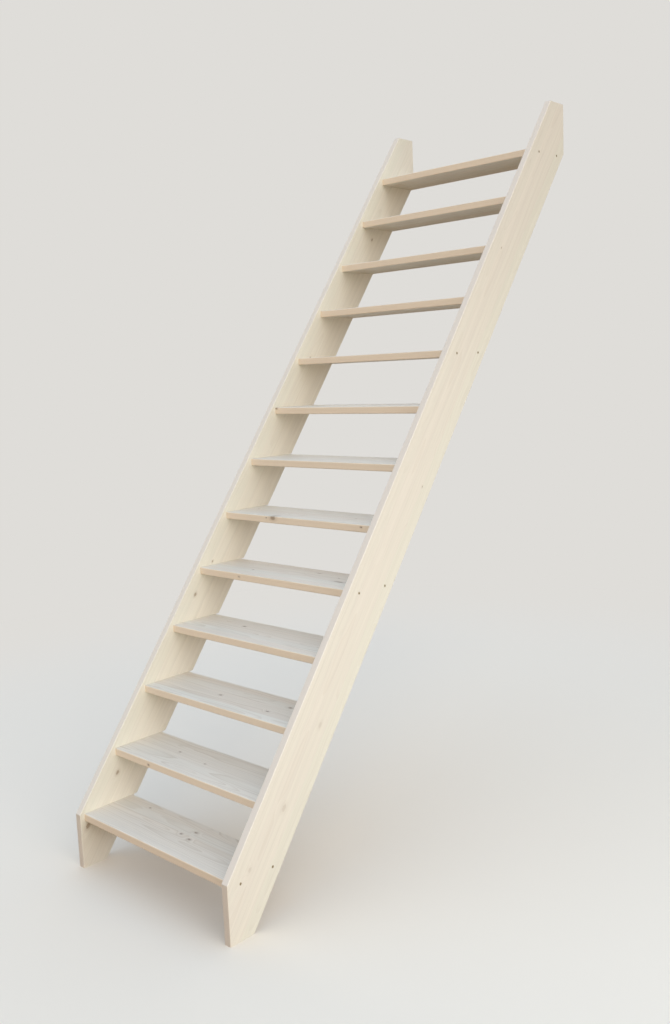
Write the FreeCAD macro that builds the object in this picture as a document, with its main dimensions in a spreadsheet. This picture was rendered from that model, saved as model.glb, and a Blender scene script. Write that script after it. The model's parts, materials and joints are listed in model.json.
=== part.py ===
import FreeCAD, Part
import math
import os
import Sketcher

# An open ship ladder in planed spruce: two raking stringers, and treads housed between them.
# X runs across the stair from left to right, Y along its run and Z up. The origin is in the
# middle of the left stringer's sole, on the floor that the stair stands on.

# Driving sizes in millimetres, as alias, value and meaning. Angles are in degrees.
SIZES = (
    ("rise", 200, "height from each tread to the next"),
    ("going", 150, "level distance from each tread's front to the next"),
    ("rise_count", 14, "steps up from the floor to the landing, the last one onto the landing"),
    ("clear_width", 772, "distance between the two stringers"),
    ("board_width", 200, "width of a stringer's board, square to the slope"),
    ("board_thickness", 28, "thickness of a stringer's board"),
    ("board_arris", 3, "radius of the eased edges round a stringer's faces"),
    ("foot_cut", 100, "length of the level cut that stands on the floor"),
    ("landing_gap", 21, "level distance from the top tread's back to the landing's face"),
    ("tread_thickness", 28, "thickness of a tread's board"),
    ("nose_setback", 19, "level distance from a stringer's front edge back to a tread's front"),
    ("nose_radius", 4, "radius of the rounded edges along a tread's front"),
    ("tread_arris", 2, "radius of the eased edges along a tread's back"),
    ("housing_depth", 14, "depth that a tread is let into each stringer"),
    ("housing_clearance", 0.15, "gap all round a tread's end in its housing"),
    ("cutter_overrun", 10, "distance that a housing's cutter runs past the back edge"),
    ("screwed_every", 4, "the first tread is screwed, and each one this many further up"),
    ("screw_from_front", 35, "distance from a tread's front to its first screw"),
    ("screw_from_back", 38, "distance from a tread's back to its second screw"),
    ("screw_hole", 5, "diameter of a screw's hole through the stringer"),
    ("screw_head", 10, "diameter of the countersink at the stringer's outer face"),
    ("countersink", 90, "angle of the countersink"),
)

# Worked-out sizes, as expressions on the sheet.
TREAD_COUNT = "(Sizes.rise_count - 1)"
SLOPE_LENGTH = "sqrt(Sizes.rise ^ 2 + Sizes.going ^ 2)"
BOARD_DEPTH = f"(Sizes.board_width * {SLOPE_LENGTH} / Sizes.rise)"
FRONT_EDGE = f"(Sizes.foot_cut / 2 - {BOARD_DEPTH})"
NOSE_LINE = f"({FRONT_EDGE} + Sizes.nose_setback)"
TREAD_DROP = "(Sizes.tread_thickness * Sizes.going / Sizes.rise)"
TREAD_DEPTH = f"({BOARD_DEPTH} - Sizes.nose_setback - {TREAD_DROP})"
LANDING_FACE = f"({NOSE_LINE} + {TREAD_COUNT} * Sizes.going + {TREAD_DEPTH} + Sizes.landing_gap)"
TREAD_LENGTH = "(Sizes.clear_width + 2 * (Sizes.housing_depth - Sizes.housing_clearance))"
LEFT_INNER_FACE = "(Sizes.board_thickness / 2)"
SCREWED_COUNT = "(floor((Sizes.rise_count - 2) / Sizes.screwed_every) + 1)"

# The ends of a sketch line or arc, its middle, the level axis and the sketch's own origin, as
# Sketcher numbers them.
START, END, MIDDLE = range(1, 4)
LEVEL_AXIS = -1
ORIGIN = (LEVEL_AXIS, START)

# Length, in millimetres, under which an edge counts as lying in a plane.
FIT = 0.001


def make_sheet(doc):
    """Put the driving sizes in a spreadsheet, one row and alias each."""
    sheet = doc.addObject("Spreadsheet::Sheet", "Sizes")
    for row, (alias, value, meaning) in enumerate(SIZES, start=1):
        sheet.set(f"A{row}", meaning)
        sheet.set(f"B{row}", str(value))
        sheet.setAlias(f"B{row}", alias)
    doc.recompute()
    return sheet


def add_sketch(body, name):
    """Add a sketch on the body's upright plane across X, with Y level and Z up."""
    plane = next(item for item in body.Origin.OriginFeatures if item.Role == "YZ_Plane")
    sketch = body.newObject("Sketcher::SketchObject", name)
    sketch.AttachmentSupport = [(plane, "")]
    sketch.MapMode = "FlatFace"
    return sketch


def add_size(sketch, name, expression, kind, *where):
    """Add a named dimension to a sketch, driven by an expression on the sheet."""
    value = sketch.evalExpression(expression)
    index = sketch.addConstraint(Sketcher.Constraint(kind, *where, value))
    sketch.renameConstraint(index, name)
    sketch.setExpression(f"Constraints.{name}", expression)


def add_polygon(sketch, corners):
    """Draw a closed polygon through corners given as (level, height)."""
    points = [FreeCAD.Vector(level, height, 0) for level, height in corners]
    sides = [Part.LineSegment(start, end) for start, end in zip(points, points[1:] + points[:1])]
    sketch.addGeometry(sides, False)
    for side in range(len(sides)):
        following = (side + 1) % len(sides)
        sketch.addConstraint(Sketcher.Constraint("Coincident", side, END, following, START))


def pad(body, sketch, name, length, backwards=False):
    """Pad a sketch along X, or against it."""
    feature = body.newObject("PartDesign::Pad", name)
    feature.Profile = sketch
    feature.setExpression("Length", length)
    feature.Reversed = backwards
    return feature


def round_edges(body, name, base, radius, wanted):
    """Fillet the edges of the base feature for which wanted(edge) is true."""
    edges = [f"Edge{number}" for number, edge in enumerate(base.Shape.Edges, start=1) if wanted(edge)]
    fillet = body.newObject("PartDesign::Fillet", name)
    fillet.Base = (base, edges)
    fillet.setExpression("Radius", radius)
    return fillet


def repeat_up_slope(body, name, original, rake, count, steps):
    """Repeat a cut up the slope, a number of steps apart."""
    pattern = body.newObject("PartDesign::LinearPattern", name)
    pattern.Originals = [original]
    pattern.Direction = (rake, ["Axis0"])
    pattern.Mode = "Spacing"
    pattern.setExpression("Offset", f"{steps} * {SLOPE_LENGTH}")
    pattern.setExpression("Occurrences", count)
    body.Tip = pattern
    return pattern


def draw_stringer_outline(body, sheet):
    """Draw the board's outline: sole, back edge, landing cut, head, front edge and foot cut."""
    sketch = add_sketch(body, "Outline")
    half_sole = sheet.foot_cut / 2
    front = sketch.evalExpression(FRONT_EDGE)
    top = sheet.rise * sheet.rise_count
    lean = sheet.going / sheet.rise
    landing = sketch.evalExpression(LANDING_FACE)
    corners = (
        (-half_sole, 0),
        (half_sole, 0),
        (landing, (landing - half_sole) / lean),
        (landing, top),
        (front + top * lean, top),
        (-half_sole, (-half_sole - front) / lean),
    )
    add_polygon(sketch, corners)
    sole, back_edge, landing_cut, head, front_edge, foot_cut = range(len(corners))
    sketch.addConstraint(Sketcher.Constraint("Horizontal", sole))
    sketch.addConstraint(Sketcher.Constraint("Horizontal", head))
    sketch.addConstraint(Sketcher.Constraint("Vertical", landing_cut))
    sketch.addConstraint(Sketcher.Constraint("Vertical", foot_cut))
    sketch.addConstraint(Sketcher.Constraint("Parallel", back_edge, front_edge))
    sketch.addConstraint(Sketcher.Constraint("Symmetric", sole, START, sole, END, *ORIGIN))
    add_size(sketch, "sole", "Sizes.foot_cut", "DistanceX", sole, START, sole, END)
    add_size(sketch, "landing", LANDING_FACE, "DistanceX", *ORIGIN, landing_cut, START)
    add_size(sketch, "height", "Sizes.rise * Sizes.rise_count", "DistanceY", *ORIGIN, head, START)
    add_size(sketch, "slope", "atan2(Sizes.rise; Sizes.going)", "Angle", LEVEL_AXIS, START, back_edge, START)
    add_size(sketch, "width", "Sizes.board_width", "Distance", front_edge, END, back_edge)
    return sketch


def draw_rake(body, sheet):
    """Draw the line from the first tread's front to the second's, which the patterns follow."""
    sketch = add_sketch(body, "Rake")
    start = FreeCAD.Vector(0, sheet.rise, 0)
    end = start + FreeCAD.Vector(sheet.going, sheet.rise, 0)
    sketch.addGeometry(Part.LineSegment(start, end), True)
    add_size(sketch, "nose", NOSE_LINE + " + Sizes.going", "DistanceX", *ORIGIN, 0, START)
    add_size(sketch, "height", "Sizes.rise", "DistanceY", *ORIGIN, 0, START)
    add_size(sketch, "going", "Sizes.going", "DistanceX", 0, START, 0, END)
    add_size(sketch, "rise", "Sizes.rise", "DistanceY", 0, START, 0, END)
    return sketch


def draw_housing(body):
    """Draw the first housing: round at its front corners and run out past the back edge."""
    sketch = add_sketch(body, "Housing")
    front = f"({NOSE_LINE} + Sizes.going - Sizes.housing_clearance)"
    back = f"({FRONT_EDGE} + {BOARD_DEPTH} + Sizes.going + Sizes.cutter_overrun)"
    floor = "(Sizes.rise - Sizes.tread_thickness - Sizes.housing_clearance)"
    height = "(Sizes.tread_thickness + 2 * Sizes.housing_clearance)"
    radius = "(Sizes.nose_radius + Sizes.housing_clearance)"
    left, right, low, tall, bend = (
        sketch.evalExpression(size) for size in (front, back, floor, height, radius)
    )
    high = low + tall
    turns = [
        Part.ArcOfCircle(
            Part.Circle(FreeCAD.Vector(left + bend, level, 0), FreeCAD.Vector(0, 0, 1), bend),
            start,
            start + math.pi / 2,
        )
        for level, start in ((high - bend, math.pi / 2), (low + bend, math.pi))
    ]
    corners = [
        ((left, high - bend), (left, low + bend)),
        ((left + bend, low), (right, low)),
        ((right, low), (right, high)),
        ((right, high), (left + bend, high)),
    ]
    sides = [Part.LineSegment(FreeCAD.Vector(*start, 0), FreeCAD.Vector(*end, 0)) for start, end in corners]
    sketch.addGeometry(sides + turns, False)
    front_side, bottom, back_side, top, upper_turn, lower_turn = range(6)
    for side, ends in ((bottom, (back_side, START)), (back_side, (top, START))):
        sketch.addConstraint(Sketcher.Constraint("Coincident", side, END, *ends))
    sketch.addConstraint(Sketcher.Constraint("Tangent", top, END, upper_turn, START))
    sketch.addConstraint(Sketcher.Constraint("Tangent", upper_turn, END, front_side, START))
    sketch.addConstraint(Sketcher.Constraint("Tangent", front_side, END, lower_turn, START))
    sketch.addConstraint(Sketcher.Constraint("Tangent", lower_turn, END, bottom, START))
    sketch.addConstraint(Sketcher.Constraint("Vertical", front_side))
    sketch.addConstraint(Sketcher.Constraint("Horizontal", bottom))
    sketch.addConstraint(Sketcher.Constraint("Vertical", back_side))
    sketch.addConstraint(Sketcher.Constraint("Horizontal", top))
    sketch.addConstraint(Sketcher.Constraint("Equal", upper_turn, lower_turn))
    add_size(sketch, "radius", radius, "Radius", upper_turn)
    add_size(sketch, "front", front, "DistanceX", *ORIGIN, front_side, START)
    add_size(sketch, "back", back, "DistanceX", *ORIGIN, back_side, START)
    add_size(sketch, "floor", floor, "DistanceY", *ORIGIN, back_side, START)
    add_size(sketch, "height", height, "DistanceY", back_side, START, back_side, END)
    return sketch


def draw_screw_holes(body, outwards):
    """Draw the first tread's two screw holes on the stringer's outer face."""
    sketch = add_sketch(body, "ScrewHoles")
    sketch.setExpression("AttachmentOffset.Base.z", f"{outwards} * Sizes.board_thickness")
    nose = f"({NOSE_LINE} + Sizes.going)"
    level = "Sizes.rise - Sizes.tread_thickness / 2"
    places = (f"{nose} + Sizes.screw_from_front", f"{nose} + {TREAD_DEPTH} - Sizes.screw_from_back")
    for number, place in enumerate(places):
        centre = FreeCAD.Vector(sketch.evalExpression(place), sketch.evalExpression(level), 0)
        radius = sketch.evalExpression("Sizes.screw_hole / 2")
        sketch.addGeometry(Part.Circle(centre, FreeCAD.Vector(0, 0, 1), radius), False)
        add_size(sketch, f"place{number}", place, "DistanceX", *ORIGIN, number, MIDDLE)
        add_size(sketch, f"level{number}", level, "DistanceY", *ORIGIN, number, MIDDLE)
        add_size(sketch, f"radius{number}", "Sizes.screw_hole / 2", "Radius", number)
    return sketch


def make_stringer(doc, sheet, label, outwards, inner_face):
    """Make a stringer. Its outer face lies outwards, as 1 or -1 along X, from its inner face."""
    body = doc.addObject("PartDesign::Body", label)
    body.Label = label
    left_hand = outwards < 0

    board = pad(body, draw_stringer_outline(body, sheet), "Board", "Sizes.board_thickness", left_hand)
    doc.recompute()

    def is_face_edge(edge):
        """Tell an edge round one of the two broad faces, other than along the sole."""
        box = edge.BoundBox
        return box.XLength < FIT and box.ZMax > FIT

    eased = round_edges(body, "EasedEdges", board, "Sizes.board_arris", is_face_edge)
    rake = draw_rake(body, sheet)

    housing = body.newObject("PartDesign::Pocket", "FirstHousing")
    housing.Profile = draw_housing(body)
    housing.setExpression("Length", "Sizes.housing_depth")
    housing.Reversed = not left_hand
    doc.recompute()
    housings = repeat_up_slope(body, "Housings", housing, rake, TREAD_COUNT, "1")
    doc.recompute()

    hole = body.newObject("PartDesign::Hole", "FirstScrewHoles")
    hole.Profile = draw_screw_holes(body, outwards)
    doc.recompute()
    hole.Threaded = False
    hole.Reversed = left_hand
    hole.DepthType = "ThroughAll"
    hole.setExpression("Diameter", "Sizes.screw_hole")
    hole.HoleCutType = "Countersink"
    hole.HoleCutCustomValues = True
    hole.setExpression("HoleCutDiameter", "Sizes.screw_head")
    hole.setExpression("HoleCutCountersinkAngle", "Sizes.countersink")
    doc.recompute()
    holes = repeat_up_slope(body, "ScrewedTreads", hole, rake, SCREWED_COUNT, "Sizes.screwed_every")

    body.setExpression("Placement.Base.x", inner_face)
    doc.recompute()
    check_each_removes(board, eased, housing, housings, hole, holes)
    return body


def make_tread(doc, label, step):
    """Make a tread, with its front's top edge on the nose line at the given step's height."""
    body = doc.addObject("PartDesign::Body", label)
    body.Label = label
    section = add_sketch(body, "Section")
    depth = section.evalExpression(TREAD_DEPTH)
    thickness = section.evalExpression("Sizes.tread_thickness")
    add_polygon(section, ((0, 0), (0, -thickness), (depth, -thickness), (depth, 0)))
    front, underside, back, top = range(4)
    section.addConstraint(Sketcher.Constraint("Coincident", front, START, *ORIGIN))
    section.addConstraint(Sketcher.Constraint("Vertical", front))
    section.addConstraint(Sketcher.Constraint("Horizontal", underside))
    section.addConstraint(Sketcher.Constraint("Vertical", back))
    section.addConstraint(Sketcher.Constraint("Horizontal", top))
    add_size(section, "thickness", "Sizes.tread_thickness", "DistanceY", front, END, front, START)
    add_size(section, "depth", TREAD_DEPTH, "DistanceX", underside, START, underside, END)
    board = pad(body, section, "Board", TREAD_LENGTH)
    doc.recompute()

    def is_front(edge):
        """Tell an edge along the tread's front."""
        return edge.BoundBox.XLength > depth and edge.BoundBox.YMax < depth / 2

    nosing = round_edges(body, "Nosing", board, "Sizes.nose_radius", is_front)
    doc.recompute()

    def is_back(edge):
        """Tell an edge along the tread's back."""
        return edge.BoundBox.XLength > depth and edge.BoundBox.YMin > depth - FIT

    eased = round_edges(body, "EasedBack", nosing, "Sizes.tread_arris", is_back)
    inner_end = f"{LEFT_INNER_FACE} - Sizes.housing_depth + Sizes.housing_clearance"
    body.setExpression("Placement.Base.x", inner_end)
    body.setExpression("Placement.Base.y", f"{NOSE_LINE} + {step} * Sizes.going")
    body.setExpression("Placement.Base.z", f"{step} * Sizes.rise")
    doc.recompute()
    check_each_removes(board, nosing, eased)
    return body


def check_each_removes(*features):
    """Stop if a feature leaves as much wood as the one before it."""
    for before, after in zip(features, features[1:]):
        if after.Shape.Volume > before.Shape.Volume - FIT:
            raise RuntimeError(f"{after.Label} removes nothing from {before.Label}")


def check_document(doc, bodies):
    """Stop if an object failed, or if a body isn't one valid solid."""
    for item in doc.Objects:
        if "Invalid" in item.State or "Error" in item.State:
            raise RuntimeError(f"{item.Label} failed: {item.State}")
    for body in bodies:
        if body.Shape.isNull() or not body.Shape.isValid() or len(body.Shape.Solids) != 1:
            raise RuntimeError(f"{body.Label} is not one valid solid")


def main():
    """Build the stair and write each of its boards to a STEP file."""
    doc = FreeCAD.newDocument("ship_ladder")
    sheet = make_sheet(doc)
    bodies = [
        make_stringer(doc, sheet, "stringer_left", -1, LEFT_INNER_FACE),
        make_stringer(doc, sheet, "stringer_right", 1, f"{LEFT_INNER_FACE} + Sizes.clear_width"),
    ]
    for step in range(1, int(sheet.rise_count)):
        bodies.append(make_tread(doc, f"tread_{step:02d}", step))
    doc.recompute()
    check_document(doc, bodies)

    os.makedirs("parts", exist_ok=True)
    for body in bodies:
        body.Shape.exportStep(f"parts/{body.Label}.step")
        print(f"{body.Label}: {body.Shape.Volume / 1000:.0f} cm3")


main()
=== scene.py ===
"""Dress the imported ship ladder: planed spruce boards, countersunk screws and a plain studio.

The boards' shapes and places are the frame's own. This script gives each board its wood, adds the
screws that hold every fourth tread, and sets the camera, the lamps and the floor.
"""

from __future__ import annotations

import json
import logging
import math
import random
from dataclasses import dataclass
from enum import Enum
from typing import ClassVar

import bpy
from mathutils import Matrix, Vector

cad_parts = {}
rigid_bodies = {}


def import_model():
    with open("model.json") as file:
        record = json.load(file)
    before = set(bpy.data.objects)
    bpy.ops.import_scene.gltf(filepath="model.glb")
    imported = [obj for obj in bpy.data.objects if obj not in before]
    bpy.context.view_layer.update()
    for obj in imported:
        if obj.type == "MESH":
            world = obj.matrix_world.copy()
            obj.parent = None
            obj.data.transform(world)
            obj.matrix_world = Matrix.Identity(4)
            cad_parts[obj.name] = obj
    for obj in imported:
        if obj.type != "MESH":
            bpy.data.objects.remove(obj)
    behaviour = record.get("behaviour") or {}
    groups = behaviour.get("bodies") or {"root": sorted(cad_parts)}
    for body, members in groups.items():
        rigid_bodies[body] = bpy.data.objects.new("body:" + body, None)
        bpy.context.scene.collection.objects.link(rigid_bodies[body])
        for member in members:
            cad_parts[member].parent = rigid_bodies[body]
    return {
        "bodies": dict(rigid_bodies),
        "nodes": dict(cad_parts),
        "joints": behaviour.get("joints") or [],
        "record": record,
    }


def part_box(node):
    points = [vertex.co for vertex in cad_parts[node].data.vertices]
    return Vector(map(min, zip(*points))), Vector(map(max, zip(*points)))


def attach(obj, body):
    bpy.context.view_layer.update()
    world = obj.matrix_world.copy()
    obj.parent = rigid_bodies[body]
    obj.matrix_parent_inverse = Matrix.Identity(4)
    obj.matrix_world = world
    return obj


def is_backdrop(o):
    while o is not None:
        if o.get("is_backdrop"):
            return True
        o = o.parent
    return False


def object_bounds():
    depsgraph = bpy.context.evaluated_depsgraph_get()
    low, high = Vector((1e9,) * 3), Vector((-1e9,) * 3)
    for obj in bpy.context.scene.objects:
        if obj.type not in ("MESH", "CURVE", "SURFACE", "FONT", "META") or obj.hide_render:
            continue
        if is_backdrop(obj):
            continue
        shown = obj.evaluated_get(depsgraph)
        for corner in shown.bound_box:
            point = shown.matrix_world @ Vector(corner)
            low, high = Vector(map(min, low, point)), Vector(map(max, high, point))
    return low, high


LOG = logging.getLogger("ship_ladder")
MM = 0.001
X_WAY = Vector((1.0, 0.0, 0.0))
Y_WAY = Vector((0.0, 1.0, 0.0))

# Socket numbers of a Mix node that mixes colours, because its sockets share their names.
MIX_A, MIX_B, MIX_COLOUR = 6, 7, 2

# Most values of a noise texture lie between these.
NOISE_LOW, NOISE_HIGH = 0.3, 0.7


def linear(hex_colour: str) -> tuple[float, float, float, float]:
    """Turn an sRGB hex colour into a linear one.

    Args:
        hex_colour: Six hex digits.

    Returns:
        Red, green, blue and a full alpha, as Blender's sockets want them.
    """
    shares = [int(hex_colour[at : at + 2], 16) / 255 for at in (0, 2, 4)]
    return (*(s / 12.92 if s <= 0.04045 else ((s + 0.055) / 1.055) ** 2.4 for s in shares), 1.0)


def add_node(
    tree: bpy.types.NodeTree, kind: str, feeds: dict | None = None, **settings: object
) -> bpy.types.Node:
    """Add a node, set it up and feed its inputs.

    Args:
        tree: Node tree that gets the node.
        kind: Blender's type name of the node.
        feeds: Input name or number to a value, to a socket, or to a node whose first output feeds it.
        **settings: Properties of the node itself.

    Returns:
        The new node.
    """
    node = tree.nodes.new(kind)
    for name, value in settings.items():
        setattr(node, name, value)
    for key, value in (feeds or {}).items():
        if isinstance(value, bpy.types.Node):
            value = value.outputs[0]
        if isinstance(value, bpy.types.NodeSocket):
            tree.links.new(value, node.inputs[key])
        else:
            node.inputs[key].default_value = value
    return node


def add_group(
    name: str, kind: str, takes: dict[str, str], gives: dict[str, str]
) -> tuple[bpy.types.NodeTree, bpy.types.Node, bpy.types.Node]:
    """Start a node group with named inputs and outputs.

    Args:
        name: The group's name.
        kind: ShaderNodeTree or GeometryNodeTree.
        takes: Name of each input to its socket type, without the words NodeSocket.
        gives: Name of each output to its socket type, likewise.

    Returns:
        The group, its input node and its output node.
    """
    group = bpy.data.node_groups.new(name, kind)
    for direction, sockets in (("INPUT", takes), ("OUTPUT", gives)):
        for socket, socket_type in sockets.items():
            group.interface.new_socket(socket, in_out=direction, socket_type=f"NodeSocket{socket_type}")
    return group, group.nodes.new("NodeGroupInput"), group.nodes.new("NodeGroupOutput")


class Side(Enum):
    """The stair's two sides, each with the way along X that its stringer's outer face looks."""

    LEFT = -1
    RIGHT = 1


class Branch(Enum):
    """How the saw met a branch: its distances along, across and through are scaled by these.

    FACE and EDGE come out on a broad face or on a narrow edge. SPIKE was sawn along its length.
    """

    FACE = (0.6, 1.0, 0.12)
    EDGE = (0.6, 0.4, 1.0)
    SPIKE = (0.25, 1.0, 0.12)


@dataclass(frozen=True)
class Knot:
    """A knot in a board, where a branch left the trunk.

    Attributes:
        along: Distance along the grain from the board's corner, in millimetres.
        across: Distance across the board from the same corner, in millimetres.
        radius: Half its width, in millimetres.
        through: Height over the middle of the board's thickness, in millimetres.
        branch: How the saw met its branch.
        depth: How dark it is, from 0 to 1. A faint one lies just under the face.
    """

    along: float
    across: float
    radius: float
    through: float = 0.0
    branch: Branch = Branch.FACE
    depth: float = 1.0


@dataclass(frozen=True)
class SpruceKnots:
    """Small sound knots in spruce. They are harder and browner, and the rings bend round them.

    Attributes:
        core: Distances from a knot's middle, in radii, at which its brown begins and is full.
        halo: The same for the stained wood round it.
        reach: How many radii away the rings still bend.
        lift: How far the rings are pushed, in radii.
        lumps: How many lumps a millimetre of the rim has.
        uneven: How far the lumps move the rim, in radii.
    """

    core: tuple[float, float] = (1.2, 0.7)
    halo: tuple[float, float] = (2.6, 1.0)
    reach: float = 5.0
    lift: float = 1.6
    lumps: float = 0.22
    uneven: float = 0.45

    def group(self) -> bpy.types.NodeTree:
        """Make the node group for one knot, to be chained knot after knot.

        Returns:
            The group. It passes on how far the rings are pushed and how knotty the wood is.
        """
        takes = {"Place": "Vector", "Middle": "Vector", "Draw": "Vector"}
        takes |= {"Radius": "Float", "Depth": "Float"}
        passed = {"Push": "Float", "Knotty": "Float", "Halo": "Float"}
        tree, given, out = add_group("spruce_knot", "ShaderNodeTree", takes | passed, passed)
        feeds = {0: given.outputs["Place"], 1: given.outputs["Middle"]}
        away = add_node(tree, "ShaderNodeVectorMath", feeds, operation="SUBTRACT")
        feeds = {0: away, 1: given.outputs["Draw"]}
        drawn = add_node(tree, "ShaderNodeVectorMath", feeds, operation="MULTIPLY")
        distance = add_node(tree, "ShaderNodeVectorMath", {0: drawn}, operation="LENGTH")
        feeds = {0: distance.outputs["Value"], 1: given.outputs["Radius"]}
        radii = add_node(tree, "ShaderNodeMath", feeds, operation="DIVIDE")
        feeds = {"Vector": given.outputs["Place"], "Scale": self.lumps, "Detail": 2.0}
        lumpy = add_node(tree, "ShaderNodeTexNoise", feeds)
        feeds = {0: lumpy.outputs[0], "To Min": -self.uneven, "To Max": self.uneven}
        wobble = add_node(tree, "ShaderNodeMapRange", feeds)
        rim = add_node(tree, "ShaderNodeMath", {0: radii, 1: wobble}, operation="ADD")

        # Brown and stain keep the strongest of all knots, and the pushes of all of them add up.
        for name, (begins, full) in (("Knotty", self.core), ("Halo", self.halo)):
            feeds = {0: rim, 1: begins, 2: full, "To Max": given.outputs["Depth"]}
            fall = add_node(tree, "ShaderNodeMapRange", feeds, interpolation_type="SMOOTHSTEP")
            feeds = {0: fall, 1: given.outputs[name]}
            strongest = add_node(tree, "ShaderNodeMath", feeds, operation="MAXIMUM")
            tree.links.new(strongest.outputs[0], out.inputs[name])
        feeds = {0: radii, 1: self.reach, 2: 0.0, "To Max": self.lift}
        fall = add_node(tree, "ShaderNodeMapRange", feeds, interpolation_type="SMOOTHSTEP")
        feeds = {0: fall, 1: given.outputs["Radius"], 2: given.outputs["Push"]}
        pushed = add_node(tree, "ShaderNodeMath", feeds, operation="MULTIPLY_ADD")
        tree.links.new(pushed.outputs[0], out.inputs["Push"])
        return tree


@dataclass(frozen=True)
class PlanedSpruce:
    """Norway spruce glued up edge to edge from staves and planed, with nothing on it.

    The wood is a solid pattern: year rings round a pith outside each stave. So the broad faces show
    long flames, the edges close lines and the cut ends arcs, as in one real board. Planed and bare,
    it has a soft sheen and no gloss.

    Attributes:
        name: What the finish is called.
        early: Pale spring wood, most of each ring.
        late: Summer wood, the line at each ring's end.
        pink_stave: Tint of the pinkest staves.
        green_stave: Tint of the palest, greenish ones.
        edge: Colour that a board's long narrow edges lean to, partly their edge grain's tone and partly
            painted light.
        end: Colour that sawn ends lean to, where open fibres drink in light.
        knot: Colour of a knot's middle.
        stave_width: Width of each glued stave in millimetres, as are all lengths below.
        glue_line: Width of the dull line where two staves meet.
        glue_shade: How light that line is.
        fibres: Length and width of a fibre. A real one is 0.03 mm wide, too fine to show.
        fibre_shades: How light the darkest and the palest fibres are.
        streaks: Length and width of a streak.
        streak_shades: How light the darkest and the palest streaks are.
        ring_width: Usual width of a year's ring, 2 to 4 mm in spruce.
        ripening: Shares of a year and how dark its new wood then is. It ends at once.
        faintest: Strength of the faintest year's line.
        pith_aside: How far to a stave's side the pith may lie.
        pith_away: Least and most that it lies over or under the stave.
        taper: How much the trunk narrows for each millimetre of its length.
        wander: How far the rings wander from round.
        bend: Length and width over which they do.
        spells: How many spells of good and poor summers a millimetre of growth holds.
        summers: How far they shift the rings.
        roughness: Roughness of spring wood and of the harder summer wood.
        relief: Height of rings and fibres over the planed face, in metres.
        relief_shows: Share of that height that the light picks out.
        specular: How much it reflects. Open fibres keep that low.
        edge_facing: How squarely a face looks sideways where its colour begins to lean, and fully.
        end_facing: The same for looking along the grain.
        leaning: How far edges and ends lean to their colours.
        stains: How far a knot's halo and its middle lean to the knot's colour.
    """

    name: str
    early: str
    late: str
    pink_stave: str
    green_stave: str
    edge: str
    end: str
    knot: str
    stave_width: float
    glue_line: float = 1.6
    glue_shade: float = 0.93
    fibres: tuple[float, float] = (90.0, 1.5)
    fibre_shades: tuple[float, float] = (0.98, 1.016)
    streaks: tuple[float, float] = (900.0, 14.0)
    streak_shades: tuple[float, float] = (0.96, 1.025)
    ring_width: float = 3.0
    ripening: tuple[tuple[float, float], ...] = (
        (0.0, 0.04),
        (0.45, 0.1),
        (0.82, 0.8),
        (0.93, 1.0),
        (1.0, 0.04),
    )
    faintest: float = 0.3
    pith_aside: float = 40.0
    pith_away: tuple[float, float] = (35.0, 100.0)
    taper: float = 0.012
    wander: float = 15.0
    bend: tuple[float, float] = (460.0, 75.0)
    spells: float = 0.06
    summers: float = 9.0
    roughness: tuple[float, float] = (0.6, 0.48)
    relief: float = 0.12 * MM
    relief_shows: float = 0.5
    specular: float = 0.35
    edge_facing: tuple[float, float] = (0.5, 0.95)
    end_facing: tuple[float, float] = (0.3, 0.6)
    leaning: float = 0.6
    stains: tuple[float, float] = (0.2, 0.64)

    def figure(self) -> bpy.types.NodeTree:
        """Make the node group that gives the wood's colour and relief at a place in a board.

        Returns:
            The group. Its Place is in millimetres along, across and through the board.
        """
        takes = {"Place": "Vector", "Board": "Float", "Push": "Float"}
        gives = {"Colour": "Color", "Late": "Float", "Fibre": "Float"}
        tree, given, out = add_group(f"{self.name}_figure", "ShaderNodeTree", takes, gives)
        place = add_node(tree, "ShaderNodeSeparateXYZ", {0: given.outputs["Place"]})
        along, across, through = place.outputs
        board = given.outputs["Board"]

        # Each stave has its own number, so its own colour, rings and slope of grain.
        ordered = add_node(tree, "ShaderNodeMath", {0: across, 1: self.stave_width}, operation="DIVIDE")
        stave = add_node(tree, "ShaderNodeMath", {0: ordered}, operation="FLOOR")
        share = add_node(tree, "ShaderNodeMath", {0: ordered}, operation="FRACT")
        centred = add_node(tree, "ShaderNodeMath", {0: share, 1: 0.5}, operation="SUBTRACT")
        lot = add_node(tree, "ShaderNodeCombineXYZ", {0: stave, 1: board})
        dice = add_node(tree, "ShaderNodeTexWhiteNoise", {0: lot}, noise_dimensions="2D")
        chance = add_node(tree, "ShaderNodeSeparateColor", {0: dice.outputs["Color"]})
        # The numbers lie far apart, because noise at near ones looks alike.
        apart = 7.3
        feeds = {0: stave, 1: apart, 2: board}
        number = add_node(tree, "ShaderNodeMath", feeds, operation="MULTIPLY_ADD")

        late = self.rings(tree, (along, centred, through), chance, number, given.outputs["Push"])
        lines = []
        for length, width in (self.fibres, self.streaks):
            feeds = {0: given.outputs["Place"], 1: (1 / length, 1 / width, 1 / width)}
            drawn_out = add_node(tree, "ShaderNodeVectorMath", feeds, operation="MULTIPLY")
            feeds = {"Vector": drawn_out, "W": number, "Scale": 1.0, "Detail": 2.0}
            lines.append(add_node(tree, "ShaderNodeTexNoise", feeds, noise_dimensions="4D"))
        fibre, streak = lines

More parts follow.
